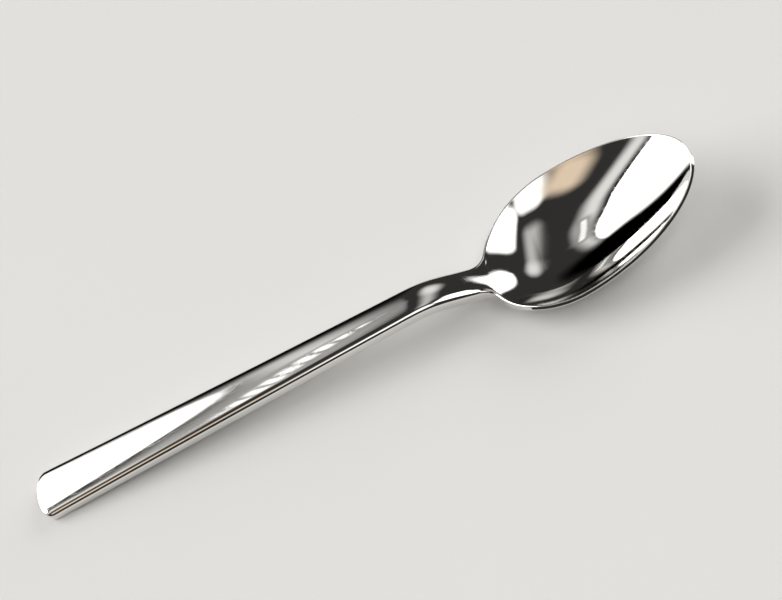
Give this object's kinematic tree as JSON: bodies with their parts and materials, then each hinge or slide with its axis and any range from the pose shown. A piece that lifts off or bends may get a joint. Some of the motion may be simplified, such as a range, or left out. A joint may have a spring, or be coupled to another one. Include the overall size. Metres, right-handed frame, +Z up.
{
  "type": "tablespoon",
  "caption": "Polished steel table spoon with an egg-shaped dished bowl, an arched neck and a straight tapering handle with a rounded end.",
  "frame": {"origin": "on the table under the middle of the spoon's length, on its mirror plane", "axes": "+X from the end of the handle to the tip of the bowl, +Y to the left when looking along +X, +Z up out of the bowl's mouth"},
  "size_m": [0.1999, 0.0416, 0.0176],
  "materials": {
    "polished_steel": "mirror-polished stainless steel with fine wiping scratches"
  },
  "bodies": {
    "root": {"bowl": "polished_steel", "neck": "polished_steel", "handle": "polished_steel"}
  },
  "joints": []
}
